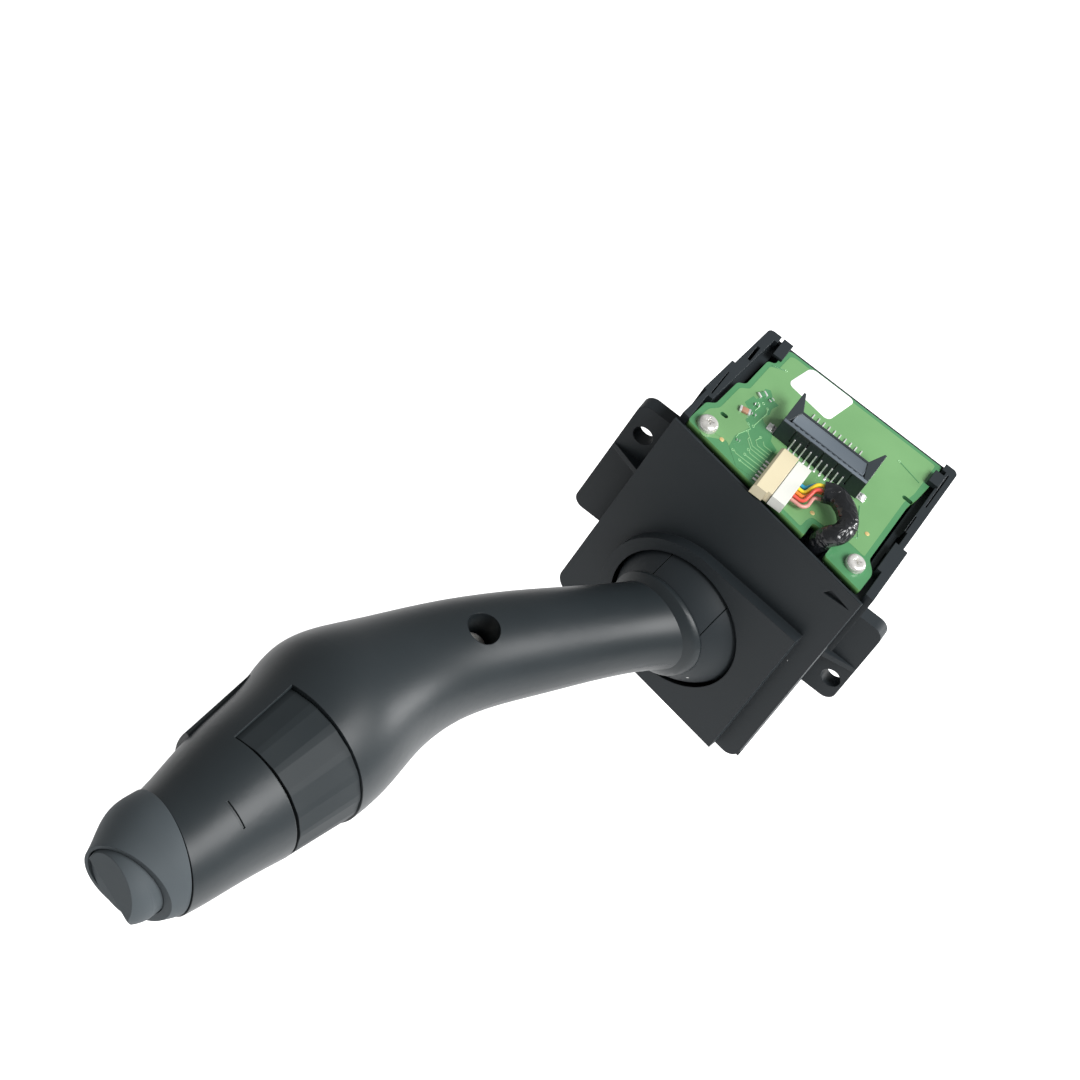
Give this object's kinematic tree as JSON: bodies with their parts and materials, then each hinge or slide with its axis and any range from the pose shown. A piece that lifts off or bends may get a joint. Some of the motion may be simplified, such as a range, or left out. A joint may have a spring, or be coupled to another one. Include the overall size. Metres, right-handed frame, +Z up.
{
  "type": "combination stalk switch",
  "caption": "Two-axis stalk switch: a flanged housing with an exposed circuit board and connector, and a curved hand lever with a twist ring and a push button at its tip.",
  "frame": {"origin": "Midway between the two mounting holes, on the rear faces of the ears.", "axes": "+X to the right across the module, +Y to its rear (away from the lever), +Z up, out of the circuit board."},
  "size_m": [0.0929, 0.1659, 0.0698],
  "materials": {
    "black_plastic": "moulded, near black",
    "lever_plastic": "satin moulded, near black",
    "inner_plastic": "natural bearing plastic",
    "slate_plastic": "slate-black connector plastic",
    "board_green": "green solder resist",
    "chip_brown": "ceramic chips",
    "cream_plastic": "cream connector plastic",
    "white_plastic": "white connector plastic",
    "sleeve_black": "glossy wrapped sleeve",
    "wire_blue": "insulated wire",
    "wire_yellow": "insulated wire",
    "wire_orange": "insulated wire",
    "wire_red": "insulated wire",
    "wire_brown": "insulated wire",
    "screw_steel": "zinc plated",
    "pin_steel": "ground",
    "tinned_contacts": "tinned"
  },
  "bodies": {
    "housing": {"rear_housing": "black_plastic", "front_plate": "black_plastic", "base_cover": "black_plastic", "cover_screws": "screw_steel", "circuit_board": "board_green", "board_screws": "screw_steel", "header_body": "slate_plastic", "header_pins": "tinned_contacts", "header_tabs": "tinned_contacts", "lead_socket": "cream_plastic", "socket_pins": "tinned_contacts", "lead_plug": "white_plastic", "small_parts": "chip_brown", "lead_sleeve": "sleeve_black", "wire_blue": "wire_blue", "wire_yellow": "wire_yellow", "wire_orange": "wire_orange", "wire_red": "wire_red", "wire_brown": "wire_brown", "detent_block": "inner_plastic"},
    "rocker": {"rocker_frame": "black_plastic", "rocker_pins": "pin_steel", "tilt_pin": "pin_steel"},
    "arm": {"neck_carrier": "black_plastic", "arm_upper_shell": "lever_plastic", "arm_lower_shell": "lever_plastic", "arm_screw": "screw_steel", "knob_core": "inner_plastic", "contact_board": "board_green", "end_cap": "lever_plastic", "detent_spring": "pin_steel", "button_spring": "pin_steel"},
    "ring": {"twist_ring": "lever_plastic"},
    "button": {"tip_button": "lever_plastic"},
    "plunger": {"detent_plunger": "inner_plastic"}
  },
  "joints": [
    {"name": "rocker_swing", "type": "hinge", "parent": "housing", "child": "rocker", "pos_m": [-0.00107, -0.00649, -0.0121], "axis": [0, 0, 1], "range_deg": [-7, 7]},
    {"name": "arm_tilt", "type": "hinge", "parent": "rocker", "child": "arm", "pos_m": [-0.00107, -0.00649, -0.0121], "axis": [0.9833, -0.1822, 0], "range_deg": [-8, 8]},
    {"name": "ring_twist", "type": "hinge", "parent": "arm", "child": "ring", "pos_m": [-0.04185, -0.09016, -0.02266], "axis": [-0.1908, -0.9721, -0.1366], "range_deg": [-30, 30]},
    {"name": "tip_press", "type": "slide", "parent": "arm", "child": "button", "axis": [0.1908, 0.9721, 0.1366], "range_m": [0, 0.001], "stiffness_N_per_m": 400, "springref_m": -0.003, "deforming": ["button_spring"]},
    {"name": "plunger_slide", "type": "slide", "parent": "arm", "child": "plunger", "axis": [-0.1822, -0.9833, 0], "range_m": [0, 0.0006], "stiffness_N_per_m": 600, "springref_m": -0.002, "deforming": ["detent_spring"]}
  ]
}
